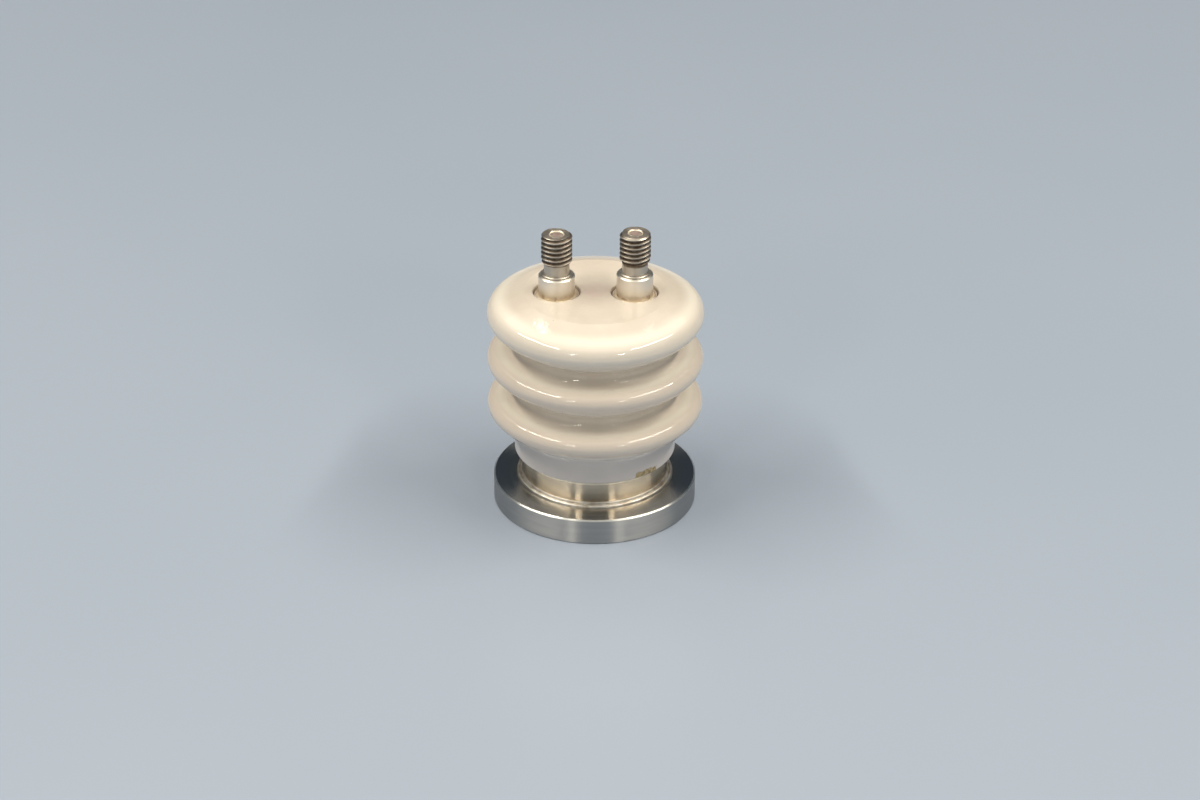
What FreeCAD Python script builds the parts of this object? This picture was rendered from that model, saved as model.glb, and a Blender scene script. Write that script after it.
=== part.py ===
"""Two-pole sealed ceramic bushing: a glazed three-shed insulator on a round steel flange.

Two hollow M8 terminal studs stand in recesses in the insulator's flat top. A copper rod runs
from the tip of each stud, down through the ceramic, to the hollow inside the flange. Every
joint between metal and ceramic is brazed, and the flange is welded to a steel sleeve.

Units are millimetres. +Z is up. The origin is the centre of the flange's lower face.
The studs stand on the X axis, the left one at -X.
"""
import FreeCAD, Part
import math
import os

# Flange
FLANGE_RADIUS = 26.5
FLANGE_THICKNESS = 7.0
FLANGE_TOP_CHAMFER = 0.35
FLANGE_BOTTOM_CHAMFER = 0.25
SLEEVE_SOCKET_FLOOR = 3.0
SOCKET_CLEARANCE = 0.05
WELD_STEP_RADIUS = 20.6
WELD_STEP_DEPTH = 0.3

# Weld in the corner of the flange and the sleeve: radii, and rises above the flange's top
WELD_TOE_RADIUS = 20.5
WELD_BEAD_RADIUS = 19.85
WELD_BEAD_RISE = 0.85
WELD_BEAD_BULGE = 0.24
WELD_GROOVE_RADIUS = 19.42
WELD_GROOVE_RISE = 0.72
WELD_ROLL_RISE = 1.3
WELD_ROLL_BULGE = 0.12

# Steel sleeve between the flange and the ceramic, cut from 1.5 inch tube
SLEEVE_RADIUS = 19.05
SLEEVE_WALL = 1.5
SLEEVE_BRAZE_BOTTOM = 9.0
SLEEVE_BRAZE_FILLET = 1.1

# Ceramic body, from the bottom up
SPIGOT_RADIUS = 17.4
SPIGOT_BOTTOM = 8.0
SPIGOT_CHAMFER = 0.5
STEM_RADIUS = 21.0
STEM_BOTTOM = 14.6
STEM_EDGE_ROUND = 0.55
SHED_RADIUS = 28.0
LOWEST_SHED_HEIGHT = 28.25
SHED_PITCH = 12.8
SHED_COUNT = 3
PLATEAU_HEIGHT = 59.6

# Outline of a shed, as arcs and their angles from the horizontal
RIM_TOP_ROUND = 2.4
RIM_UNDER_ROUND = 3.1
RIM_UNDER_TURN = 40.0
UNDERSIDE_ROUND = 13.5
UNDERSIDE_SLOPE = 34.3
TOPSIDE_SLOPE = 7.8
NECK_ROUND = 2.3
DOME_RIM_ROUND = 3.6
DOME_RIM_TURN = 66.0
DOME_CREASE_TURN = 77.0

# Bores and recesses in the ceramic, one set per stud
STUD_SPACING = 20.0
RECESS_RADIUS = 6.1
RECESS_DEPTH = 2.4
RECESS_EDGE_ROUND = 0.35
TAIL_BORE_RADIUS = 3.65
TAIL_BORE_FLOOR = 47.0
ROD_BORE_RADIUS = 2.3
BUSH_BORE_RADIUS = 3.5
BUSH_BORE_CEILING = 13.0
CUTTER_OVERRUN = 1.0

# Terminal studs
SHOULDER_RADIUS = 4.7
SHOULDER_TOP = 64.6
SHOULDER_CHAMFER = 0.4
LIP_RADIUS = 3.95
LIP_HEIGHT = 0.45
LIP_CHAMFER = 0.2
NECK_RADIUS = 3.3
THREAD_BOTTOM = 68.2
THREAD_RADIUS = 4.0
THREAD_ROOT_RADIUS = 3.32
THREAD_PITCH = 1.25
THREAD_CREST_FLAT = THREAD_PITCH / 8
THREAD_FLANK_ANGLE = 30.0
GROOVE_OVERSHOOT = 0.05
THREAD_TURNS = 6.1
STUD_TIP_CHAMFER = 0.4
STUD_BORE_RADIUS = 1.8
STUD_MOUTH_RADIUS = 2.1
TAIL_RADIUS = 3.5
TAIL_BOTTOM = 48.0
TAIL_CHAMFER = 0.4
RIGHT_STUD_LIFT = 0.5

# Rods, cups, bushes and braze
ROD_RADIUS = 1.7
ROD_TIP_DEPTH = 0.2
ROD_TIP_ROUND = 0.1
LEAD_RADIUS = 1.5
LEAD_BOTTOM = 2.0
LEAD_CHAMFER = 0.3
CUP_RADIUS = 5.75
CUP_WALL = 0.5
CUP_HEIGHT = 1.7
CUP_HOLE_RADIUS = 3.6
CUP_CORNER_ROUND = 0.3
BUSH_RADIUS = 3.45
BUSH_HOLE_RADIUS = 1.75
BUSH_LENGTH = 4.6
BUSH_CHAMFER = 0.3
BRAZE_FILM = 0.1
TIP_BRAZE_ROOT = 0.8
TIP_BRAZE_MARGIN = 0.08
TIP_BRAZE_SAG = 0.02
SHOULDER_BRAZE_SAG = 0.11

Z_AXIS = FreeCAD.Vector(0, 0, 1)


def polar(centre, radius, degrees):
    """The point at this radius and angle from a centre, as (r, z)."""
    angle = math.radians(degrees)
    return (centre[0] + radius * math.cos(angle), centre[1] + radius * math.sin(angle))


def arc(centre, radius, start, end):
    """The middle and the end of an arc, which is one step of an outline."""
    return (polar(centre, radius, (start + end) / 2), polar(centre, radius, end))


def bulged(start, end, bulge):
    """An arc from start to end, as one step of an outline.

    Its middle stands off the straight line by the bulge, to the right of it, or to the left
    of it where the bulge is negative.
    """
    along_r = end[0] - start[0]
    along_z = end[1] - start[1]
    ratio = bulge / math.hypot(along_r, along_z)
    middle_r = (start[0] + end[0]) / 2 + along_z * ratio
    middle_z = (start[1] + end[1]) / 2 - along_r * ratio
    return ((middle_r, middle_z), end)


def turned(start, steps, axis_x=0.0):
    """A solid of revolution about the vertical line at axis_x.

    The outline starts at (r, z). A step is the next point (r, z), or a pair of points, the
    middle and the end of an arc. A straight line closes the outline.
    """
    def place(point):
        return FreeCAD.Vector(axis_x + point[0], 0, point[1])

    edges = []
    here = start
    for step in steps:
        if isinstance(step[0], tuple):
            middle, end = step
            edges.append(Part.Arc(place(here), place(middle), place(end)).toShape())
        else:
            end = step
            edges.append(Part.LineSegment(place(here), place(end)).toShape())
        here = end
    edges.append(Part.LineSegment(place(here), place(start)).toShape())
    face = Part.Face(Part.Wire(edges))
    return face.revolve(FreeCAD.Vector(axis_x, 0, 0), Z_AXIS, 360)


def export(shape, node):
    """Checks that a node is one valid closed solid and writes it."""
    solids = shape.Solids
    if len(solids) != 1 or not solids[0].isValid() or solids[0].Volume <= 0:
        raise ValueError(f"{node} is {len(solids)} solids, or isn't valid")
    solids[0].exportStep(f"parts/{node}.step")
    print(f"{node}: {solids[0].Volume:.1f} mm3")


# ---- Ceramic body ----

def underside_round_centre(tip_height):
    """The centre of the large arc that carries a rim on into its underside."""
    rim_centre = (SHED_RADIUS - RIM_UNDER_ROUND, tip_height)
    return polar(rim_centre, RIM_UNDER_ROUND - UNDERSIDE_ROUND, -RIM_UNDER_TURN)


def underside_line(tip_height):
    """The underside as a unit normal and its distance from the axis origin."""
    turn = UNDERSIDE_SLOPE - 90
    normal = polar((0, 0), 1, turn)
    on_line = polar(underside_round_centre(tip_height), UNDERSIDE_ROUND, turn)
    return normal, normal[0] * on_line[0] + normal[1] * on_line[1]


def topside_line(tip_height):
    """The upper side of a lower shed, in the same form."""
    turn = 90 - TOPSIDE_SLOPE
    normal = polar((0, 0), 1, turn)
    on_line = polar((SHED_RADIUS - RIM_TOP_ROUND, tip_height), RIM_TOP_ROUND, turn)
    return normal, normal[0] * on_line[0] + normal[1] * on_line[1]


def neck_centre(upper_tip, lower_tip):
    """The centre of the hollow arc that touches both sides of a neck."""
    under, under_distance = underside_line(upper_tip)
    top, top_distance = topside_line(lower_tip)
    under_distance += NECK_ROUND
    top_distance += NECK_ROUND
    scale = under[0] * top[1] - under[1] * top[0]
    r = (under_distance * top[1] - under[1] * top_distance) / scale
    z = (under[0] * top_distance - under_distance * top[0]) / scale
    return (r, z)


def stem_fillet_centre(tip_height):
    """The centre of the hollow arc between the stem and the lowest underside."""
    normal, distance = underside_line(tip_height)
    r = STEM_RADIUS + NECK_ROUND
    z = (distance + NECK_ROUND - normal[0] * r) / normal[1]
    return (r, z)


def rim_under_steps(tip_height):
    """From the end of the underside's straight part out to the tip of the shed."""
    straight_end = UNDERSIDE_SLOPE - 90
    large_centre = underside_round_centre(tip_height)
    rim_centre = (SHED_RADIUS - RIM_UNDER_ROUND, tip_height)
    return [
        polar(large_centre, UNDERSIDE_ROUND, straight_end),
        arc(large_centre, UNDERSIDE_ROUND, straight_end, -RIM_UNDER_TURN),
        arc(rim_centre, RIM_UNDER_ROUND, -RIM_UNDER_TURN, 0),
    ]


def dome_steps(tip_height):
    """From the tip of the top shed, over the dome, to the edge of the flat plateau."""
    rim_centre = (SHED_RADIUS - DOME_RIM_ROUND, tip_height)
    start = polar((0, 0), 1, DOME_RIM_TURN)
    end = polar((0, 0), 1, DOME_CREASE_TURN)
    rise = PLATEAU_HEIGHT - tip_height
    extra = (rise - DOME_RIM_ROUND * end[1]) / (end[1] - start[1])
    dome_centre = polar(rim_centre, -extra, DOME_RIM_TURN)
    dome_round = DOME_RIM_ROUND + extra
    return [
        arc(rim_centre, DOME_RIM_ROUND, 0, DOME_RIM_TURN),
        arc(dome_centre, dome_round, DOME_RIM_TURN, DOME_CREASE_TURN),
    ]


def ceramic_blank():
    """The insulator without its bores."""
    tips = [LOWEST_SHED_HEIGHT + SHED_PITCH * n for n in range(SHED_COUNT)]
    underside_turn = UNDERSIDE_SLOPE + 90
    topside_turn = 270 - TOPSIDE_SLOPE
    edge_centre = (STEM_RADIUS - STEM_EDGE_ROUND, STEM_BOTTOM + STEM_EDGE_ROUND)
    fillet_centre = stem_fillet_centre(tips[0])
    steps = [
        (SPIGOT_RADIUS - SPIGOT_CHAMFER, SPIGOT_BOTTOM),
        (SPIGOT_RADIUS, SPIGOT_BOTTOM + SPIGOT_CHAMFER),
        (SPIGOT_RADIUS, STEM_BOTTOM),
        (STEM_RADIUS - STEM_EDGE_ROUND, STEM_BOTTOM),
        arc(edge_centre, STEM_EDGE_ROUND, -90, 0),
        (STEM_RADIUS, fillet_centre[1]),
        arc(fillet_centre, NECK_ROUND, 180, underside_turn),
    ]
    for lower_tip, upper_tip in zip(tips, tips[1:]):
        rim_centre = (SHED_RADIUS - RIM_TOP_ROUND, lower_tip)
        hollow_centre = neck_centre(upper_tip, lower_tip)
        steps += rim_under_steps(lower_tip)
        steps += [
            arc(rim_centre, RIM_TOP_ROUND, 0, 90 - TOPSIDE_SLOPE),
            polar(hollow_centre, NECK_ROUND, topside_turn),
            arc(hollow_centre, NECK_ROUND, topside_turn, underside_turn),
        ]
    steps += rim_under_steps(tips[-1])
    steps += dome_steps(tips[-1])
    steps.append((0, PLATEAU_HEIGHT))
    return turned((0, SPIGOT_BOTTOM), steps)


def stud_bore(axis_x):
    """The stepped bore of one stud: recess, tail bore, rod bore and bush bore."""
    above = PLATEAU_HEIGHT + CUTTER_OVERRUN
    below = SPIGOT_BOTTOM - CUTTER_OVERRUN
    mouth_radius = RECESS_RADIUS + RECESS_EDGE_ROUND
    edge_centre = (mouth_radius, PLATEAU_HEIGHT - RECESS_EDGE_ROUND)
    recess_floor = PLATEAU_HEIGHT - RECESS_DEPTH
    steps = [
        (mouth_radius, above),
        (mouth_radius, PLATEAU_HEIGHT),
        arc(edge_centre, RECESS_EDGE_ROUND, 90, 180),
        (RECESS_RADIUS, recess_floor),
        (TAIL_BORE_RADIUS, recess_floor),
        (TAIL_BORE_RADIUS, TAIL_BORE_FLOOR),
        (ROD_BORE_RADIUS, TAIL_BORE_FLOOR),
        (ROD_BORE_RADIUS, BUSH_BORE_CEILING),
        (BUSH_BORE_RADIUS, BUSH_BORE_CEILING),
        (BUSH_BORE_RADIUS, below),
        (0, below),
    ]
    return turned((0, above), steps, axis_x)


def ceramic_body(stud_positions):
    body = ceramic_blank()
    for axis_x in stud_positions:
        body = body.cut(stud_bore(axis_x))
    return body


# ---- Flange, sleeve and their joints ----

def mounting_flange():
    """A plain ring with a socket for the sleeve and a step for the weld."""
    bore = SLEEVE_RADIUS - SLEEVE_WALL
    socket = SLEEVE_RADIUS + SOCKET_CLEARANCE
    step_height = FLANGE_THICKNESS - WELD_STEP_DEPTH
    steps = [
        (FLANGE_RADIUS - FLANGE_BOTTOM_CHAMFER, 0),
        (FLANGE_RADIUS, FLANGE_BOTTOM_CHAMFER),
        (FLANGE_RADIUS, FLANGE_THICKNESS - FLANGE_TOP_CHAMFER),
        (FLANGE_RADIUS - FLANGE_TOP_CHAMFER, FLANGE_THICKNESS),
        (WELD_STEP_RADIUS, FLANGE_THICKNESS),
        (WELD_STEP_RADIUS, step_height),
        (socket, step_height),
        (socket, SLEEVE_SOCKET_FLOOR),
        (bore, SLEEVE_SOCKET_FLOOR),
        (bore, FLANGE_BOTTOM_CHAMFER),
    ]
    return turned((bore + FLANGE_BOTTOM_CHAMFER, 0), steps)


def collar_sleeve():
    """A short tube that stands in the flange's socket and carries the ceramic."""
    bore = SLEEVE_RADIUS - SLEEVE_WALL
    top = STEM_BOTTOM - BRAZE_FILM
    steps = [
        (SLEEVE_RADIUS, SLEEVE_SOCKET_FLOOR),
        (SLEEVE_RADIUS, top),
        (bore, top),
    ]
    return turned((bore, SLEEVE_SOCKET_FLOOR), steps)


def flange_weld_bead():
    """The weld in the corner: a full bead with a smaller roll where it meets the sleeve."""
    step_height = FLANGE_THICKNESS - WELD_STEP_DEPTH
    toe = (WELD_TOE_RADIUS, FLANGE_THICKNESS)
    bead_top = (WELD_BEAD_RADIUS, FLANGE_THICKNESS + WELD_BEAD_RISE)
    groove = (WELD_GROOVE_RADIUS, FLANGE_THICKNESS + WELD_GROOVE_RISE)
    roll_top = (SLEEVE_RADIUS, FLANGE_THICKNESS + WELD_ROLL_RISE)
    steps = [
        (WELD_TOE_RADIUS, step_height),
        toe,
        bulged(toe, bead_top, WELD_BEAD_BULGE),
        groove,
        bulged(groove, roll_top, WELD_ROLL_BULGE),
    ]
    return turned((SLEEVE_RADIUS, step_height), steps)


def collar_braze_ring():
    """The braze round the spigot and over the sleeve's end, with a hollow outer fillet."""
    bore = SLEEVE_RADIUS - SLEEVE_WALL
    sleeve_top = STEM_BOTTOM - BRAZE_FILM
    fillet_foot = STEM_BOTTOM - SLEEVE_BRAZE_FILLET
    fillet_centre = (SLEEVE_RADIUS + SLEEVE_BRAZE_FILLET, fillet_foot)
    steps = [
        (bore, SLEEVE_BRAZE_BOTTOM),
        (bore, sleeve_top),
        (SLEEVE_RADIUS, sleeve_top),
        (SLEEVE_RADIUS, fillet_foot),
        arc(fillet_centre, SLEEVE_BRAZE_FILLET, 180, 90),
        (SPIGOT_RADIUS, STEM_BOTTOM),
    ]
    return turned((SPIGOT_RADIUS, SLEEVE_BRAZE_BOTTOM), steps)


# ---- The pieces of one terminal ----

def cup_heights():
    """The underside, the inner floor and the rim of a seal cup."""
    underside = PLATEAU_HEIGHT - RECESS_DEPTH + BRAZE_FILM
    return underside, underside + CUP_WALL, underside + CUP_HEIGHT


def stud_tip(lift):
    return THREAD_BOTTOM + THREAD_PITCH * THREAD_TURNS + lift


def thread_groove(bottom, top):
    """The helical groove between the crests, about the Z axis.

    Towards -X, a crest stands half a pitch over the bottom.
    """
    turns = math.ceil((top - bottom) / THREAD_PITCH) + 2
    outer = THREAD_RADIUS + GROOVE_OVERSHOOT
    flank = math.tan(math.radians(THREAD_FLANK_ANGLE))
    half_at_crest = (THREAD_PITCH - THREAD_CREST_FLAT) / 2
    half_outer = half_at_crest + (outer - THREAD_RADIUS) * flank
    half_root = half_at_crest - (THREAD_RADIUS - THREAD_ROOT_RADIUS) * flank
    corners = [
        FreeCAD.Vector(THREAD_ROOT_RADIUS, 0, -half_root),
        FreeCAD.Vector(outer, 0, -half_outer),
        FreeCAD.Vector(outer, 0, half_outer),
        FreeCAD.Vector(THREAD_ROOT_RADIUS, 0, half_root),
    ]
    profile = Part.makePolygon(corners + corners[:1])
    helix = Part.makeHelix(THREAD_PITCH, THREAD_PITCH * turns, THREAD_ROOT_RADIUS)
    groove = Part.Wire(helix.Edges).makePipeShell([profile], True, True)
    groove.rotate(FreeCAD.Vector(0, 0, 0), Z_AXIS, 180)
    groove.translate(FreeCAD.Vector(0, 0, bottom - THREAD_PITCH))
    return groove


def terminal_stud(axis_x, lift, crest_angle):
    """A hollow stud: M8 thread, plain neck, lipped shoulder and a tail in the ceramic.

    Its lowest crest stands out at crest_angle, seen from above.
    """
    shoulder_bottom = cup_heights()[1] + BRAZE_FILM + lift
    shoulder_top = SHOULDER_TOP + lift
    lip_top = shoulder_top + LIP_HEIGHT
    thread_bottom = THREAD_BOTTOM + lift
    tip = stud_tip(lift)
    thread_depth = THREAD_RADIUS - NECK_RADIUS
    mouth_depth = STUD_MOUTH_RADIUS - STUD_BORE_RADIUS
    steps = [
        (TAIL_RADIUS - TAIL_CHAMFER, TAIL_BOTTOM + lift),
        (TAIL_RADIUS, TAIL_BOTTOM + lift + TAIL_CHAMFER),
        (TAIL_RADIUS, shoulder_bottom),
        (SHOULDER_RADIUS, shoulder_bottom),
        (SHOULDER_RADIUS, shoulder_top - SHOULDER_CHAMFER),
        (SHOULDER_RADIUS - SHOULDER_CHAMFER, shoulder_top),
        (LIP_RADIUS, shoulder_top),
        (LIP_RADIUS, lip_top - LIP_CHAMFER),
        (LIP_RADIUS - LIP_CHAMFER, lip_top),
        (NECK_RADIUS, lip_top),
        (NECK_RADIUS, thread_bottom - thread_depth / 2),
        (THREAD_RADIUS, thread_bottom + thread_depth / 2),
        (THREAD_RADIUS, tip - STUD_TIP_CHAMFER),
        (THREAD_RADIUS - STUD_TIP_CHAMFER, tip),
        (STUD_MOUTH_RADIUS, tip),
        (STUD_BORE_RADIUS, tip - mouth_depth),
    ]
    stud = turned((STUD_BORE_RADIUS, TAIL_BOTTOM + lift), steps)
    stud = stud.cut(thread_groove(thread_bottom, tip))
    stud.rotate(FreeCAD.Vector(0, 0, 0), Z_AXIS, crest_angle - 180)
    stud.translate(FreeCAD.Vector(axis_x, 0, 0))
    return stud


def conductor_rod(axis_x, lift):
    """The copper rod: it ends just inside the stud's tip, and below the bush as a thinner lead."""
    tip = stud_tip(lift) - ROD_TIP_DEPTH
    bush_bottom = BUSH_BORE_CEILING - BUSH_LENGTH
    steps = [
        (LEAD_RADIUS - LEAD_CHAMFER, LEAD_BOTTOM),
        (LEAD_RADIUS, LEAD_BOTTOM + LEAD_CHAMFER),
        (LEAD_RADIUS, bush_bottom),
        (ROD_RADIUS, bush_bottom),
        (ROD_RADIUS, tip - ROD_TIP_ROUND),
        arc((ROD_RADIUS - ROD_TIP_ROUND, tip - ROD_TIP_ROUND), ROD_TIP_ROUND, 0, 90),
        (0, tip),
    ]
    return turned((0, LEAD_BOTTOM), steps, axis_x)


def tip_braze(axis_x, lift):
    """The ring of braze in the mouth of the stud, slightly hollow on top."""
    tip = stud_tip(lift)
    mouth_floor = tip - (STUD_MOUTH_RADIUS - STUD_BORE_RADIUS)
    bottom = mouth_floor - TIP_BRAZE_ROOT
    outer_edge = (STUD_MOUTH_RADIUS - TIP_BRAZE_MARGIN, tip - TIP_BRAZE_MARGIN)
    inner_edge = (ROD_RADIUS, tip - ROD_TIP_DEPTH - ROD_TIP_ROUND)
    steps = [
        (STUD_BORE_RADIUS, bottom),
        (STUD_BORE_RADIUS, mouth_floor),
        outer_edge,
        bulged(outer_edge, inner_edge, -TIP_BRAZE_SAG),
    ]
    return turned((ROD_RADIUS, bottom), steps, axis_x)


def seal_cup(axis_x):
    """The pressed cup that joins the stud's shoulder to the ceramic."""
    underside, floor, rim = cup_heights()
    corner_centre = (CUP_RADIUS - CUP_CORNER_ROUND, underside + CUP_CORNER_ROUND)
    rim_centre = (CUP_RADIUS - CUP_WALL / 2, rim - CUP_WALL / 2)
    steps = [
        (CUP_RADIUS - CUP_CORNER_ROUND, underside),
        arc(corner_centre, CUP_CORNER_ROUND, -90, 0),
        (CUP_RADIUS, rim - CUP_WALL / 2),
        arc(rim_centre, CUP_WALL / 2, 0, 180),
        (CUP_RADIUS - CUP_WALL, floor),
        (CUP_HOLE_RADIUS, floor),
    ]
    return turned((CUP_HOLE_RADIUS, underside), steps, axis_x)


def cup_braze(axis_x):
    """The film of braze under the cup, with its fillet against the recess wall."""
    underside = cup_heights()[0]
    recess_floor = underside - BRAZE_FILM
    corner_centre = (CUP_RADIUS - CUP_CORNER_ROUND, underside + CUP_CORNER_ROUND)
    corner_top = underside + CUP_CORNER_ROUND
    steps = [
        (RECESS_RADIUS, recess_floor),
        (RECESS_RADIUS, corner_top),
        (CUP_RADIUS, corner_top),
        arc(corner_centre, CUP_CORNER_ROUND, 0, -90),
        (CUP_HOLE_RADIUS, underside),
    ]
    return turned((CUP_HOLE_RADIUS, recess_floor), steps, axis_x)


def shoulder_braze(axis_x, lift):
    """The braze under the stud's shoulder and between the shoulder and the cup."""
    _, floor, rim = cup_heights()
    inner_wall = CUP_RADIUS - CUP_WALL
    shoulder_bottom = floor + BRAZE_FILM + lift
    cup_side = (inner_wall, rim - CUP_WALL)
    shoulder_side = (SHOULDER_RADIUS, rim)
    steps = [
        (inner_wall, floor),
        cup_side,
        bulged(cup_side, shoulder_side, -SHOULDER_BRAZE_SAG),
        (SHOULDER_RADIUS, shoulder_bottom),
        (CUP_HOLE_RADIUS, shoulder_bottom),
    ]
    return turned((CUP_HOLE_RADIUS, floor), steps, axis_x)


def guide_bush(axis_x):
    """The ceramic bush that centres the rod at the lower end of its bore."""
    top = BUSH_BORE_CEILING
    bottom = top - BUSH_LENGTH
    steps = [
        (BUSH_RADIUS - BUSH_CHAMFER, bottom),
        (BUSH_RADIUS, bottom + BUSH_CHAMFER),
        (BUSH_RADIUS, top),
        (BUSH_HOLE_RADIUS, top),
    ]
    return turned((BUSH_HOLE_RADIUS, bottom), steps, axis_x)


# For each terminal: its side, its place on the X axis, how much higher its stud stands, and the
# angle at which the thread's lowest crest stands out, which is towards the other stud.
TERMINALS = (
    ("left", -STUD_SPACING / 2, 0.0, 0.0),
    ("right", STUD_SPACING / 2, RIGHT_STUD_LIFT, 180.0),
)

os.makedirs("parts", exist_ok=True)
export(ceramic_body([axis_x for _, axis_x, _, _ in TERMINALS]), "ceramic_body")
export(mounting_flange(), "mounting_flange")
export(collar_sleeve(), "collar_sleeve")
export(flange_weld_bead(), "flange_weld_bead")
export(collar_braze_ring(), "collar_braze_ring")
for side, axis_x, lift, crest_angle in TERMINALS:
    export(terminal_stud(axis_x, lift, crest_angle), f"terminal_stud_{side}")
    export(conductor_rod(axis_x, lift), f"conductor_rod_{side}")
    export(tip_braze(axis_x, lift), f"tip_braze_{side}")
    export(seal_cup(axis_x), f"seal_cup_{side}")
    export(cup_braze(axis_x), f"cup_braze_{side}")
    export(shoulder_braze(axis_x, lift), f"shoulder_braze_{side}")
    export(guide_bush(axis_x), f"guide_bush_{side}")
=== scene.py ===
"""The looks of a two-pole ceramic bushing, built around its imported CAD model.

Every length is in metres. The two terminals stand on the X axis, and the camera looks
along +Y and down. The CAD nodes keep their shapes and get worn, procedural materials. The
flange's weld is built here, with the ripples of a hand-fed bead.
"""
import math

import bpy
from mathutils import Matrix, Vector, noise


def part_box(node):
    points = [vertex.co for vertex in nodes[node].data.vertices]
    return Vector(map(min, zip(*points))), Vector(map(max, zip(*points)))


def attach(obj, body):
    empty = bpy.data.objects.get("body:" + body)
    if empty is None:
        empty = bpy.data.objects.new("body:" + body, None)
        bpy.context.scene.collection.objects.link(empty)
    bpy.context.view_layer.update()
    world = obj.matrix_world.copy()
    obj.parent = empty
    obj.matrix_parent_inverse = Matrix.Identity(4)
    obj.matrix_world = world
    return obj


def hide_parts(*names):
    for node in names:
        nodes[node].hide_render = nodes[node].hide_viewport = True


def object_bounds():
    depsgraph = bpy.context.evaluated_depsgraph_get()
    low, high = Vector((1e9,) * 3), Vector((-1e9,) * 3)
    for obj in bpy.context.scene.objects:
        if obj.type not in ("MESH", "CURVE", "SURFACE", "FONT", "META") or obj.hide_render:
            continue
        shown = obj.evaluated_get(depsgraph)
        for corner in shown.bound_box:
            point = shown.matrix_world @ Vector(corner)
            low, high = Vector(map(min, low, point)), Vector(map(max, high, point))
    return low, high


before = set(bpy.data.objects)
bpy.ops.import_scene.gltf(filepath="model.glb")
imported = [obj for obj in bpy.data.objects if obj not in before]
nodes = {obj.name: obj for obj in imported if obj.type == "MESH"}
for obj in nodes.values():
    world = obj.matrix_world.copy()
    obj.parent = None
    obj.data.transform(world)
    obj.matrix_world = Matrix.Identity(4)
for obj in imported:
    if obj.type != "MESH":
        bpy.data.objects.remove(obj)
cad_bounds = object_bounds()


def rgb(red, green, blue):
    return (red, green, blue, 1.0)


MM = 0.001
SIDES = ("left", "right")

# What the frame says about where things are
flange_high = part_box("mounting_flange")[1]
sleeve_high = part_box("collar_sleeve")[1]
weld_low, weld_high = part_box("flange_weld_bead")
ceramic_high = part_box("ceramic_body")[1]
braze_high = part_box("collar_braze_ring")[1]
FLANGE_TOP = flange_high.z
FLANGE_RADIUS = flange_high.x
SLEEVE_RADIUS = sleeve_high.x
WELD_FOOT = weld_low.z
WELD_RADIUS = weld_high.x
PLATEAU = ceramic_high.z
STEM_BOTTOM = braze_high.z
STUD_BOXES = {side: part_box(f"terminal_stud_{side}") for side in SIDES}
STUD_X = {side: (low.x + high.x) / 2 for side, (low, high) in STUD_BOXES.items()}
STUD_TOP = {side: high.z for side, (low, high) in STUD_BOXES.items()}

# The ceramic's zones, where its tint and its painted shade change: radii, depths below the flat top,
# heights
NECK_EDGE = 25.5 * MM
NECK_ROOT = 21.5 * MM
RIM_EDGE = 24.0 * MM
RIM_FULL = 27.2 * MM
TOP_SHED_DEPTH = 4.0 * MM
LOWER_SHEDS_DEPTH = 14.0 * MM
NECKS_FROM = 22.0 * MM
NECKS_FULL = 28.0 * MM
STEM_FULL = 20.5 * MM
STEM_TOP = 24.0 * MM

# The steel's zones: radii of the weld's heat, then distances from the flange's top, the
# stem's lower edge and the sharp corner that the flange's chamfer cuts off
HEAT_EDGE = 24.0 * MM
HEAT_FULL = 20.5 * MM
SLEEVE_HEAT_RISE = 4.0 * MM
REFLECTION_BAND_FROM = 1.35 * MM
REFLECTION_BAND_FULL = 1.15 * MM
HIGHLIGHT_FROM = 0.45 * MM
HIGHLIGHT_FULL = 0.36 * MM

# The studs' zones: heights above the flat top
FLUX_FULL = -0.5 * MM
FLUX_FROM = 3.5 * MM
SPOTS_AND_SHADE_FULL = -1.0 * MM
SPOTS_AND_SHADE_FROM = 1.2 * MM
THREAD_FROM = 8.0 * MM
THREAD_FULL = 8.5 * MM

# The studs' zones: depths below the tip
SHOULDER_EDGE = 11.6 * MM
NECK_FOOT = 11.2 * MM
DIRT_FULL = 0.4 * MM
DIRT_END = 0.1 * MM
END_FACE_FROM = 0.2 * MM
END_FACE_FULL = 0.05 * MM
ROD_END_FROM = 0.8 * MM
ROD_END_FULL = 0.4 * MM

# The studs' zones: radii
SMEAR_FROM = 1.2 * MM
SMEAR_FULL = 1.8 * MM
THREAD_ROOT = 3.68 * MM
THREAD_CREST = 3.96 * MM
CREST_FROM = 3.7 * MM
CREST_FULL = 3.9 * MM

# The marks: the braze stain on the stem, to the right of the front, and the pink smudge
STAIN_ANGLE = math.radians(-50)
STAIN_HEIGHT = 1.2 * MM
STAIN_EDGE = 0.4 * MM
SMUDGE_PLACE = (0.0, 0.5 * MM, PLATEAU)
SMUDGE_SIZE = 6.5 * MM

# The weld's section, its ripples, and how far their spacing and its crest stray
BEAD_WIDTH = 0.57 * MM
BEAD_RISE = 0.83 * MM
BEAD_TURN = math.radians(140)
BEAD_STEPS = 12
ROLL_WIDTH = 0.36 * MM
ROLL_FOOT = 0.60 * MM
ROLL_RISE = 0.66 * MM
ROLL_STEPS = 6
ROLL_SHARE = 0.8
WELD_STATIONS = 1600
WELD_RIPPLES = 150
RIPPLE_HEIGHT = 0.022 * MM
RIPPLE_MIDDLE = 0.8
RIPPLE_LAG = 0.9
STRAY_RIPPLES = 1.6
STRAY_SCALE = 17.0
WANDER_HEIGHT = 0.07 * MM
WANDER_SCALE = 7.0

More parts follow.
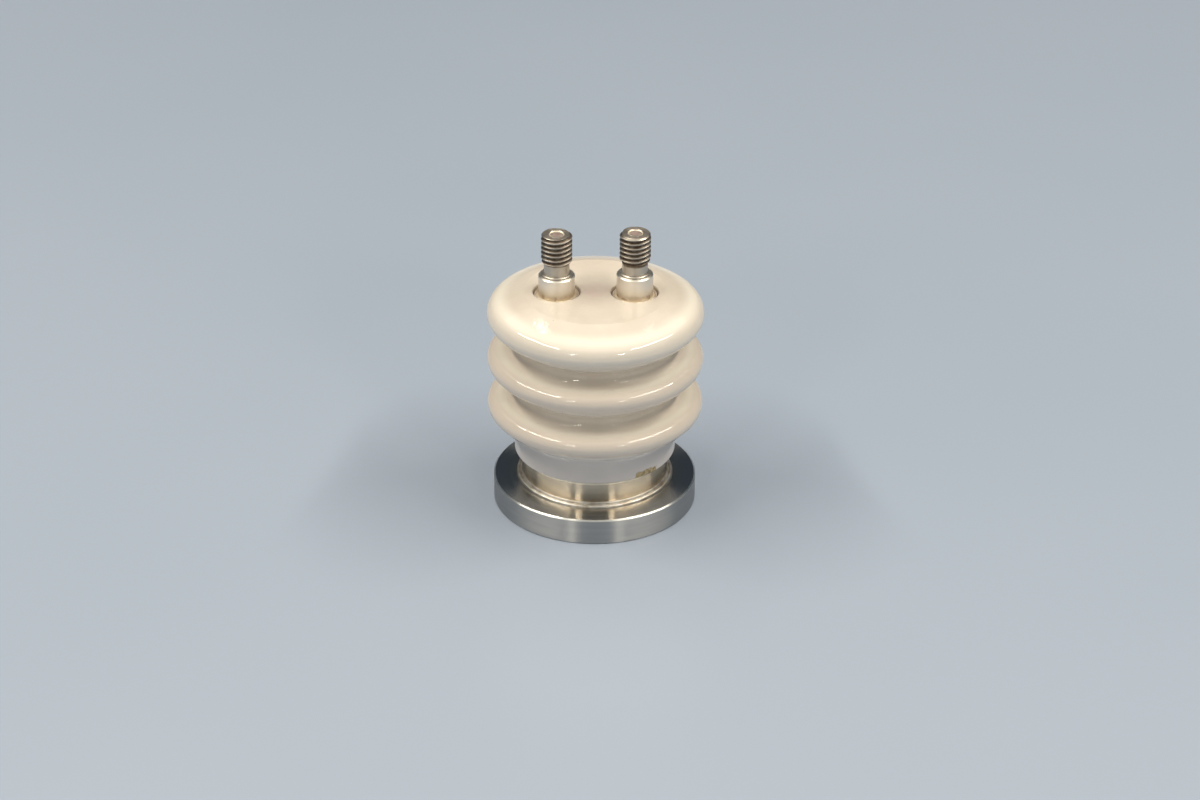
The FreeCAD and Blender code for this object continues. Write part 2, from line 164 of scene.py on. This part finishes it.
# Colours of the ceramic
GLAZE_DEEP = rgb(0.865, 0.81, 0.71)
GLAZE_PALE = rgb(0.88, 0.83, 0.74)
# The neck colour is partly dirt and partly painted shade
NECK_DIRT_AND_SHADE = rgb(0.58, 0.49, 0.41)
# The rim colour is painted shade
RIM_PAINTED_SHADE = rgb(0.66, 0.575, 0.50)
# The stem colour is painted shade
STEM_PAINTED_SHADE = rgb(0.52, 0.49, 0.50)
SMUDGE_PINK = rgb(0.62, 0.40, 0.40)
STAIN_DARK = rgb(0.24, 0.19, 0.10)
STAIN_GOLD = rgb(0.48, 0.38, 0.20)
SPECK_BROWN = rgb(0.30, 0.22, 0.16)
ALUMINA = rgb(0.80, 0.77, 0.70)
HANDLING_GREY = rgb(0.52, 0.50, 0.47)

# Colours of the metals
STEEL_DARK = rgb(0.47, 0.47, 0.47)
STEEL_LIGHT = rgb(0.52, 0.52, 0.51)
STRAW = rgb(0.62, 0.54, 0.41)
SLEEVE_AMBER = rgb(0.66, 0.54, 0.38)
# Braze on the sleeve, brightened as a painted reflection of the stem's lit lower edge
BRAZE_AND_REFLECTION_GOLD = rgb(0.90, 0.80, 0.63)
# Painted highlight for the bright line along the flange's chamfer
CHAMFER_HIGHLIGHT = rgb(0.90, 0.89, 0.86)
WELD_BRIGHT = rgb(0.70, 0.675, 0.63)
WELD_OXIDE = rgb(0.42, 0.34, 0.25)
NICKEL_DARK = rgb(0.88, 0.84, 0.77)
NICKEL_LIGHT = rgb(0.93, 0.89, 0.82)
# Painted shade for the stud's neck and thread
NICKEL_SHADED = rgb(0.56, 0.52, 0.46)
FLUX_GOLD = rgb(0.76, 0.66, 0.48)
# Flux stains, also used as painted shade at the stud's foot
FLUX_SPOTS_AND_SHADE = rgb(0.30, 0.21, 0.11)
THREAD_DIRT = rgb(0.17, 0.125, 0.09)
END_TARNISH = rgb(0.42, 0.36, 0.30)
COPPER_BARE = rgb(0.80, 0.60, 0.54)
COPPER_FILM = rgb(0.62, 0.44, 0.38)
COPPER_SMEAR = rgb(0.56, 0.50, 0.44)
BRAZE_GOLD = rgb(0.86, 0.78, 0.63)
BRAZE_STAIN = rgb(0.56, 0.43, 0.28)
CUP_SILVER = rgb(0.86, 0.77, 0.71)
CUP_FILM = rgb(0.74, 0.61, 0.46)

# Camera and surroundings
CAMERA_PLACE = Vector((0.0013, -0.7557, 0.4396))
CAMERA_PITCH = math.radians(28.58)
CAMERA_ROLL = math.radians(0.4)
CAMERA_LENS = 99.0
CAMERA_SENSOR = 36.0
FLOOR_SIZE = 6.0
FLOOR_LOW = rgb(0.35, 0.41, 0.51)
FLOOR_HIGH = rgb(0.37, 0.43, 0.53)
SKY = rgb(0.65, 0.82, 1.0)
SKY_STRENGTH = 0.08
LIGHT_COLOUR = (1.0, 0.93, 0.80)
MIDDLE = (0.0, 0.0, 0.04)

# Lights: where they are, how they are turned, and the window strips' sizes and watts
CEILING_HEIGHT = 1.25
CEILING_Y = 0.3
KEY_PLACE = (0.0, -0.72, 1.3)
STRIP_HEIGHT = 1.1
ROW_X = 0.81
ROW_Y = -0.11
ROW_TURN = math.radians(-15)
WALL_AZIMUTH = 54
LOW_ELEVATION = 27
WALL_DISTANCE = 1.8
FRONT_AZIMUTHS = {"left": -25, "right": 28}
FRONT_DISTANCE = 1.5
WINDOW_X = {"left": -0.38, "right": 0.38}
WINDOW_Y = 0.72
WINDOW_SIZES = {"left": (0.07, 0.34), "right": (0.05, 0.30)}
WINDOW_WATTS = {"left": 0.55, "right": 0.12}


# ---- Node helpers ----

class Surface:
    """A material, its Principled shader and short ways to add the nodes that feed it."""

    def __init__(self, name, even):
        """even gives the shader's values that are the same all over the surface."""
        self.material = bpy.data.materials.new(name)
        self.material.use_nodes = True
        self.tree = self.material.node_tree
        self.shader = self.tree.nodes["Principled BSDF"]
        for socket, value in even.items():
            self.shader.inputs[socket].default_value = value
        place = self.tree.nodes.new("ShaderNodeTexCoord")
        self.place = place.outputs["Object"]

    def feed(self, socket, value):
        """Gives a socket a number, a colour or the output of a node."""
        if isinstance(value, bpy.types.NodeSocket):
            self.tree.links.new(value, socket)
        else:
            socket.default_value = value

    def math(self, operation, first, second=0.0, third=0.0):
        node = self.tree.nodes.new("ShaderNodeMath")
        node.operation = operation
        for socket, value in zip(node.inputs, (first, second, third)):
            self.feed(socket, value)
        return node.outputs[0]

    def parts(self, vector):
        node = self.tree.nodes.new("ShaderNodeSeparateXYZ")
        self.feed(node.inputs[0], vector)
        return node.outputs

    def vector(self, x, y, z):
        node = self.tree.nodes.new("ShaderNodeCombineXYZ")
        for socket, value in zip(node.inputs, (x, y, z)):
            self.feed(socket, value)
        return node.outputs[0]

    def moved(self, offset):
        """The place, measured from another point."""
        node = self.tree.nodes.new("ShaderNodeVectorMath")
        node.operation = "SUBTRACT"
        self.feed(node.inputs[0], self.place)
        node.inputs[1].default_value = offset
        return node.outputs[0]

    def polar(self, vector):
        """The radius, the angle's cosine and sine, and the height of a place round the Z axis."""
        x, y, z = self.parts(vector)
        square = self.math("MULTIPLY_ADD", x, x, self.math("MULTIPLY", y, y))
        radius = self.math("MAXIMUM", self.math("SQRT", square), 1e-6)
        return radius, self.math("DIVIDE", x, radius), self.math("DIVIDE", y, radius), z

    def noise(self, vector, scale, detail, roughness=0.5):
        node = self.tree.nodes.new("ShaderNodeTexNoise")
        self.feed(node.inputs["Vector"], vector)
        node.inputs["Scale"].default_value = scale
        node.inputs["Detail"].default_value = detail
        node.inputs["Roughness"].default_value = roughness
        return node.outputs["Fac"]

    def grain(self, scale, detail, roughness=0.5):
        """Noise over the surface."""
        return self.noise(self.place, scale, detail, roughness)

    def cells(self, scale):
        """The distance to the nearest of many scattered points."""
        node = self.tree.nodes.new("ShaderNodeTexVoronoi")
        self.feed(node.inputs["Vector"], self.place)
        node.inputs["Scale"].default_value = scale
        return node.outputs["Distance"]

    def fade(self, value, start, end, low=0.0, high=1.0):
        """Goes smoothly from low to high as the value goes from start to end."""
        node = self.tree.nodes.new("ShaderNodeMapRange")
        node.interpolation_type = "SMOOTHSTEP"
        self.feed(node.inputs["Value"], value)
        node.inputs["From Min"].default_value = start
        node.inputs["From Max"].default_value = end
        node.inputs["To Min"].default_value = low
        node.inputs["To Max"].default_value = high
        return node.outputs["Result"]

    def patches(self, scale, detail, start, end, low=0.0, high=1.0):
        """Soft patches: low where the noise is below start, and high where it is above end."""
        return self.fade(self.grain(scale, detail), start, end, low, high)

    def strayed(self, value, scale, detail, reach):
        """A value that noise moves by up to this much, which makes an edge ragged."""
        return self.math("MULTIPLY_ADD", self.grain(scale, detail), reach, value)

    def mix(self, factor, first, second):
        """A colour between two colours."""
        node = self.tree.nodes.new("ShaderNodeMix")
        node.data_type = "RGBA"
        self.feed(node.inputs["Factor"], factor)
        self.feed(node.inputs[6], first)
        self.feed(node.inputs[7], second)
        return node.outputs[2]

    def times(self, first, second):
        return self.math("MULTIPLY", first, second)

    def near(self, point, size):
        """1 at a point, fading to 0 at about this distance from it."""
        node = self.tree.nodes.new("ShaderNodeVectorMath")
        node.operation = "LENGTH"
        self.feed(node.inputs[0], self.moved(point))
        return self.fade(node.outputs["Value"], 0.0, size, 1.0, 0.0)

    def coloured(self, colour):
        self.feed(self.shader.inputs["Base Color"], colour)

    def rough(self, roughness):
        self.feed(self.shader.inputs["Roughness"], roughness)

    def bumps(self, *layers):
        """Bump from layers of (height, distance), the last of which goes to the shader."""
        normal = None
        for height, distance in layers:
            node = self.tree.nodes.new("ShaderNodeBump")
            node.inputs["Strength"].default_value = 1.0
            node.inputs["Distance"].default_value = distance
            self.feed(node.inputs["Height"], height)
            if normal is not None:
                self.feed(node.inputs["Normal"], normal)
            normal = node.outputs["Normal"]
        self.feed(self.shader.inputs["Normal"], normal)

    def turned(self):
        """Makes the finish shine along radii, as tool marks that run round the axis do."""
        node = self.tree.nodes.new("ShaderNodeTangent")
        node.direction_type = "RADIAL"
        node.axis = "Z"
        self.feed(self.shader.inputs["Tangent"], node.outputs["Tangent"])


# ---- Materials ----

def glazed_porcelain():
    """Cream glaze: glossy, a little uneven, with necks darkened by dirt and painted shade, painted shade
    on the outer rims and the stem, specks and two marks.
    """
    s = Surface("glazed_porcelain", {"IOR": 1.5})
    radius, cosine, sine, height = s.polar(s.place)
    colour = s.mix(s.patches(55, 3, 0.35, 0.65), GLAZE_DEEP, GLAZE_PALE)

    # The necks get a brown that is partly dirt and partly painted shade, where the sheds above shade
    # them
    in_neck = s.times(s.fade(radius, NECK_EDGE, NECK_ROOT), s.fade(height, NECKS_FROM, NECKS_FULL))
    colour = s.mix(s.times(in_neck, s.patches(90, 3, 0.2, 0.8, 0.45, 0.7)), colour, NECK_DIRT_AND_SHADE)
    # Painted shade: the outer rims darken, the lower sheds more, as if shaded by the sheds above
    lower_sheds_shade = s.fade(height, PLATEAU - TOP_SHED_DEPTH, PLATEAU - LOWER_SHEDS_DEPTH, 0.45, 0.8)
    colour = s.mix(s.times(s.fade(radius, RIM_EDGE, RIM_FULL), lower_sheds_shade), colour, RIM_PAINTED_SHADE)
    # Painted shade: the stem greys under the lowest shed
    colour = s.mix(s.fade(height, STEM_TOP, STEM_FULL, 0.0, 0.75), colour, STEM_PAINTED_SHADE)

    smudge = s.times(s.near(SMUDGE_PLACE, SMUDGE_SIZE), s.patches(260, 3, 0.3, 0.75, 0.12, 0.38))
    colour = s.mix(smudge, colour, SMUDGE_PINK)

    from_sine = s.times(sine, math.sin(STAIN_ANGLE))
    along = s.math("MULTIPLY_ADD", cosine, math.cos(STAIN_ANGLE), from_sine)
    across = s.fade(s.strayed(along, 600, 3, 0.016), 0.992, 0.996)
    stain_top = STEM_BOTTOM + STAIN_HEIGHT
    up = s.fade(s.strayed(height, 600, 3, -1.6 * MM), stain_top, stain_top - STAIN_EDGE)
    gold = s.mix(s.patches(1500, 3, 0.4, 0.6), STAIN_DARK, STAIN_GOLD)
    colour = s.mix(s.times(across, up), colour, gold)

    specks = s.fade(s.cells(260), 0.035, 0.055, 0.5, 0.0)
    colour = s.mix(s.times(specks, s.patches(120, 1, 0.55, 0.62)), colour, SPECK_BROWN)
    s.coloured(colour)
    s.rough(s.patches(180, 4, 0.3, 0.7, 0.03, 0.055))
    s.bumps(
        (s.grain(130, 2), 0.04 * MM),
        (s.times(in_neck, s.grain(900, 2)), 0.05 * MM),
        (s.grain(1100, 2), 0.0015 * MM))
    return s.material


def plain_ceramic():
    """Bare alumina: matt, with a fine grain and grey handling marks."""
    s = Surface("plain_ceramic", {"Roughness": 0.62})
    s.coloured(s.mix(s.patches(700, 4, 0.45, 0.75, 0.0, 0.5), ALUMINA, HANDLING_GREY))
    s.bumps((s.grain(5200, 4, 0.7), 0.03 * MM))
    return s.material


def stainless():
    """Turned stainless: tool rings, radial shine, straw tint by the weld, a braze band with a painted
    reflection, and a painted highlight on the chamfer.
    """
    s = Surface("stainless", {"Metallic": 1.0, "Anisotropic": 1.0, "Anisotropic Rotation": 0.25})
    radius, cosine, sine, height = s.polar(s.place)
    along_tool = s.math("ADD", radius, height)

    def ringed(fineness, unevenness, detail):
        """Noise drawn out round the axis, into rings across the way the tool went."""
        across = s.times(along_tool, fineness)
        rings_place = s.vector(across, s.times(cosine, unevenness), s.times(sine, unevenness))
        return s.noise(rings_place, 1.0, detail)

    rings = ringed(4200, 0.8, 2)
    bands = ringed(900, 2.0, 4)
    colour = s.mix(s.fade(bands, 0.3, 0.7), STEEL_DARK, STEEL_LIGHT)

    by_weld = s.fade(radius, HEAT_EDGE, HEAT_FULL)
    heat = s.times(by_weld, s.fade(height, FLANGE_TOP - 1.0 * MM, FLANGE_TOP))
    heat = s.times(heat, s.patches(60, 2, 0.2, 0.8, 0.2, 0.5))
    colour = s.mix(heat, colour, STRAW)
    on_sleeve = s.fade(radius, SLEEVE_RADIUS + 0.4 * MM, SLEEVE_RADIUS + 0.1 * MM)
    sleeve_heat = s.fade(height, FLANGE_TOP, FLANGE_TOP + SLEEVE_HEAT_RISE, 0.8, 0.6)
    colour = s.mix(s.times(on_sleeve, sleeve_heat), colour, SLEEVE_AMBER)
    ragged = s.strayed(height, 420, 2, 0.3 * MM)
    # A gold band just under the stem's lower edge: braze on the sleeve, and a painted reflection of the
    # stem's lit edge
    braze_and_reflection = s.fade(ragged, STEM_BOTTOM - REFLECTION_BAND_FROM, STEM_BOTTOM - REFLECTION_BAND_FULL, 0.0, 0.9)
    colour = s.mix(s.times(on_sleeve, braze_and_reflection), colour, BRAZE_AND_REFLECTION_GOLD)

    # Painted highlight: the chamfer is made near-white, for the bright line along the flange's edge
    corner = FLANGE_RADIUS + FLANGE_TOP
    on_chamfer_highlight = s.fade(along_tool, corner - HIGHLIGHT_FROM, corner - HIGHLIGHT_FULL)
    s.coloured(s.mix(on_chamfer_highlight, colour, CHAMFER_HIGHLIGHT))
    on_rim = s.fade(radius, FLANGE_RADIUS - 0.4 * MM, FLANGE_RADIUS - 0.1 * MM, 0.0, 0.12)
    s.rough(s.math("ADD", s.fade(bands, 0.3, 0.7, 0.21, 0.26), on_rim))
    s.turned()
    s.bumps((rings, 0.001 * MM))
    return s.material


def weld_metal():
    """Bright weld with straw and brown oxide in patches."""
    s = Surface("weld", {"Metallic": 1.0})
    s.coloured(s.mix(s.patches(420, 4, 0.4, 0.7, 0.0, 0.7), WELD_BRIGHT, WELD_OXIDE))
    s.rough(s.patches(900, 3, 0.3, 0.7, 0.30, 0.42))
    s.bumps((s.grain(1800, 3), 0.003 * MM))
    return s.material


def nickel(side):
    """Satin nickel on one stud: painted shade on the neck and thread, warm and stained towards the
    recess, with flux spots and painted shade at its foot.
    """
    s = Surface(f"nickel_{side}", {"Metallic": 1.0, "Anisotropic": 0.4, "Anisotropic Rotation": 0.25})
    radius, _, _, height = s.polar(s.moved((STUD_X[side], 0.0, 0.0)))
    tip = STUD_TOP[side]
    colour = s.mix(s.patches(300, 4, 0.35, 0.7), NICKEL_DARK, NICKEL_LIGHT)
    # Painted shade: the neck and the thread above the shoulder are darker, standing in for the dark
    # surroundings they reflect
    shaded_upper = s.fade(height, tip - SHOULDER_EDGE, tip - NECK_FOOT)
    colour = s.mix(shaded_upper, colour, NICKEL_SHADED)

    gold = s.fade(height, PLATEAU + FLUX_FROM, PLATEAU + FLUX_FULL, 0.0, 0.8)
    colour = s.mix(s.times(gold, s.patches(200, 3, 0.3, 0.7, 0.5, 1.0)), colour, FLUX_GOLD)
    # Brown spots at the stud's foot: flux stains, and painted shade where the stud meets the recess
    spots_and_shade = s.fade(height, PLATEAU + SPOTS_AND_SHADE_FROM, PLATEAU + SPOTS_AND_SHADE_FULL)
    colour = s.mix(s.times(spots_and_shade, s.patches(420, 3, 0.56, 0.64, 0.0, 0.7)), colour, FLUX_SPOTS_AND_SHADE)

    threaded = s.fade(height, PLATEAU + THREAD_FROM, PLATEAU + THREAD_FULL)
    root = s.times(threaded, s.fade(radius, THREAD_CREST, THREAD_ROOT))
    below_tip = s.fade(height, tip - DIRT_END, tip - DIRT_FULL)
    root = s.times(s.times(root, below_tip), s.patches(900, 3, 0.2, 0.7, 0.65, 1.0))
    colour = s.mix(root, colour, THREAD_DIRT)
    end_face = s.fade(height, tip - END_FACE_FROM, tip - END_FACE_FULL)
    colour = s.mix(s.times(end_face, s.patches(1500, 4, 0.35, 0.65, 0.2, 0.9)), colour, END_TARNISH)
    s.coloured(colour)

    on_crest = s.times(threaded, s.fade(radius, CREST_FROM, CREST_FULL, 0.0, -0.10))
    smoother = s.math("ADD", s.patches(1200, 4, 0.3, 0.7, 0.38, 0.46), on_crest)
    s.rough(s.math("ADD", smoother, s.times(root, 0.1)))
    s.turned()
    s.bumps(
        (s.grain(500, 2), 0.004 * MM),
        (s.times(threaded, s.grain(2400, 3)), 0.02 * MM))
    return s.material


def copper(side):
    """One rod: pink copper in the middle of its end, and a dull grey film round that."""
    s = Surface(f"copper_{side}", {"Metallic": 1.0})
    radius, _, _, height = s.polar(s.moved((STUD_X[side], 0.0, 0.0)))
    tip = STUD_TOP[side]
    bare = s.mix(s.patches(900, 4, 0.35, 0.7), COPPER_BARE, COPPER_FILM)
    at_end = s.fade(height, tip - ROD_END_FROM, tip - ROD_END_FULL)
    ragged = s.strayed(radius, 1400, 2, 0.8 * MM)
    smear = s.times(at_end, s.fade(ragged, SMEAR_FROM, SMEAR_FULL, 0.0, 0.85))
    s.coloured(s.mix(smear, bare, COPPER_SMEAR))
    s.rough(s.patches(1500, 3, 0.3, 0.7, 0.38, 0.55))
    s.bumps((s.grain(2500, 4), 0.02 * MM))
    return s.material


def braze():
    """Silver braze: satin, pale gold, with darker flux stains."""
    s = Surface("braze", {"Metallic": 0.6})
    s.coloured(s.mix(s.patches(520, 4, 0.50, 0.74, 0.0, 0.6), BRAZE_GOLD, BRAZE_STAIN))
    s.rough(s.patches(1100, 3, 0.3, 0.7, 0.34, 0.50))
    s.bumps((s.grain(1400, 3), 0.008 * MM))
    return s.material


def cup_plating():
    """The seal cups: pinkish silver with a film of flux."""
    s = Surface("cup_plating", {"Metallic": 0.7})
    s.coloured(s.mix(s.patches(620, 3, 0.4, 0.7, 0.0, 0.7), CUP_SILVER, CUP_FILM))
    s.rough(s.patches(1300, 3, 0.3, 0.7, 0.30, 0.44))
    s.bumps((s.grain(1700, 3), 0.006 * MM))
    return s.material


def floor_paint():
    """A pale satin floor with a faint unevenness."""
    s = Surface("pale_floor", {"Roughness": 0.35})
    s.coloured(s.mix(s.patches(3, 3, 0.3, 0.7), FLOOR_LOW, FLOOR_HIGH))
    return s.material


# ---- The weld ----

def bead_outline():
    """The weld's section as (radius, height, share), where share is how far a ripple moves it.

    A broad bead swells from the toe, dips into a groove, and a smaller roll climbs the sleeve.
    """
    bead_centre = WELD_RADIUS - BEAD_WIDTH
    points = [(SLEEVE_RADIUS, WELD_FOOT, 0.0), (WELD_RADIUS, WELD_FOOT, 0.0)]
    for step in range(BEAD_STEPS + 1):
        turn = BEAD_TURN * step / BEAD_STEPS
        radius = bead_centre + BEAD_WIDTH * math.cos(turn)
        height = FLANGE_TOP + BEAD_RISE * math.sin(turn)
        points.append((radius, height, math.sin(turn)))
    for step in range(ROLL_STEPS + 1):
        turn = math.pi / 2 * step / ROLL_STEPS
        radius = SLEEVE_RADIUS + ROLL_WIDTH * math.cos(turn)
        height = FLANGE_TOP + ROLL_FOOT + ROLL_RISE * math.sin(turn)
        points.append((radius, height, ROLL_SHARE * math.cos(turn)))
    return points


def weld_bead():
    """The weld round the sleeve: overlapping ripples and a crest that wanders a little."""
    outline = bead_outline()
    verts = []
    faces = []
    for step in range(WELD_STATIONS):
        angle = 2 * math.pi * step / WELD_STATIONS
        direction = Vector((math.cos(angle), math.sin(angle), 0.0))
        wander = WANDER_HEIGHT * noise.noise(direction * WANDER_SCALE)
        stray = STRAY_RIPPLES * noise.noise(direction * STRAY_SCALE)
        for radius, height, share in outline:
            phase = step / WELD_STATIONS * WELD_RIPPLES + stray - RIPPLE_LAG * share
            ripple = RIPPLE_HEIGHT * (abs(math.sin(math.pi * phase)) - RIPPLE_MIDDLE)
            place = direction * (radius + share * ripple)
            place.z = height + share * (ripple + wander)
            verts.append(place)
    count = len(outline)
    for step in range(WELD_STATIONS):
        here = step * count
        there = (step + 1) % WELD_STATIONS * count
        for index in range(count):
            after = (index + 1) % count
            faces.append((here + index, there + index, there + after, here + after))
    mesh = bpy.data.meshes.new("weld_bead")
    mesh.from_pydata(verts, [], faces)
    mesh.shade_smooth()
    piece = bpy.data.objects.new("weld_bead", mesh)
    bpy.context.scene.collection.objects.link(piece)
    return piece


# ---- Lights, floor and camera ----

def area_light(name, place, aim, size, watts):
    """A soft rectangular light that shines from its place towards a point."""
    data = bpy.data.lights.new(name, "AREA")
    data.shape = "RECTANGLE"
    data.size, data.size_y = size
    data.energy = watts
    data.color = LIGHT_COLOUR
    light = bpy.data.objects.new(name, data)
    light.location = place
    light.rotation_euler = (Vector(aim) - Vector(place)).to_track_quat("-Z", "Y").to_euler()
    light.visible_camera = False
    bpy.context.scene.collection.objects.link(light)
    return light


def hung_light(name, x, y, height, size, watts):
    """A light that faces straight down."""
    return area_light(name, (x, y, height), (x, y, 0.0), size, watts)


def round_about(azimuth, elevation, distance):
    """A place round the bushing, with the azimuth from -Y towards +X, in degrees."""
    turn = math.radians(azimuth)
    rise = math.radians(elevation)
    level = distance * math.cos(rise)
    return (level * math.sin(turn), -level * math.cos(turn), distance * math.sin(rise))


def lights():
    """A faint sky, a broad ceiling light with strips under it, and soft lights round the front."""
    world = bpy.data.worlds.new("studio")
    world.use_nodes = True
    background = world.node_tree.nodes["Background"]
    background.inputs["Color"].default_value = SKY
    background.inputs["Strength"].default_value = SKY_STRENGTH
    bpy.context.scene.world = world
    hung_light("ceiling", 0.0, CEILING_Y, CEILING_HEIGHT, size=(2.2, 2.2), watts=15.0)
    area_light("key", KEY_PLACE, MIDDLE, size=(1.0, 0.5), watts=0.4)
    for name, side in (("left", -1), ("right", 1)):
        row = hung_light(f"row_{name}", side * ROW_X, ROW_Y, STRIP_HEIGHT, size=(0.10, 1.15), watts=11.4)
        row.rotation_euler.z = side * ROW_TURN
        wall_place = round_about(side * WALL_AZIMUTH, LOW_ELEVATION, WALL_DISTANCE)
        area_light(f"wall_{name}", wall_place, MIDDLE, size=(1.3, 0.8), watts=1.0)
    for name, azimuth in FRONT_AZIMUTHS.items():
        front_place = round_about(azimuth, LOW_ELEVATION, FRONT_DISTANCE)
        area_light(f"front_{name}", front_place, MIDDLE, size=(0.20, 0.09), watts=2.2)
    for name, x in WINDOW_X.items():
        hung_light(f"window_{name}", x, WINDOW_Y, STRIP_HEIGHT, WINDOW_SIZES[name], WINDOW_WATTS[name])


def studio_floor():
    mesh = bpy.data.meshes.new("studio_floor")
    half = FLOOR_SIZE / 2
    corners = [(-half, -half, 0), (half, -half, 0), (half, half, 0), (-half, half, 0)]
    mesh.from_pydata(corners, [], [(0, 1, 2, 3)])
    mesh.materials.append(floor_paint())
    floor = bpy.data.objects.new("studio_floor", mesh)
    floor.location.z = cad_bounds[0].z
    bpy.context.scene.collection.objects.link(floor)


def camera():
    data = bpy.data.cameras.new("camera")
    data.lens = CAMERA_LENS
    data.sensor_width = CAMERA_SENSOR
    view = bpy.data.objects.new("camera", data)
    down = Matrix.Rotation(math.pi / 2 - CAMERA_PITCH, 4, "X")
    view.matrix_world = Matrix.Translation(CAMERA_PLACE) @ down @ Matrix.Rotation(CAMERA_ROLL, 4, "Z")
    bpy.context.scene.collection.objects.link(view)
    bpy.context.scene.camera = view


# ---- Putting it together ----

def paint(node, material):
    """Gives a CAD node one material."""
    mesh = nodes[node].data
    if not mesh.materials:
        mesh.materials.append(material)
    for index in range(len(mesh.materials)):
        mesh.materials[index] = material


glaze = glazed_porcelain()
steel = stainless()
silver_braze = braze()
cup_silver = cup_plating()
alumina = plain_ceramic()
paint("ceramic_body", glaze)
paint("mounting_flange", steel)
paint("collar_sleeve", steel)
paint("collar_braze_ring", silver_braze)
for side in SIDES:
    paint(f"terminal_stud_{side}", nickel(side))
    paint(f"seal_cup_{side}", cup_silver)
    paint(f"conductor_rod_{side}", copper(side))
    paint(f"guide_bush_{side}", alumina)
    for joint in ("tip_braze", "cup_braze", "shoulder_braze"):
        paint(f"{joint}_{side}", silver_braze)

bead = weld_bead()
bead.data.materials.append(weld_metal())
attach(bead, "root")
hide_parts("flange_weld_bead")

bpy.context.scene.view_settings.view_transform = "Standard"
lights()
studio_floor()
camera()
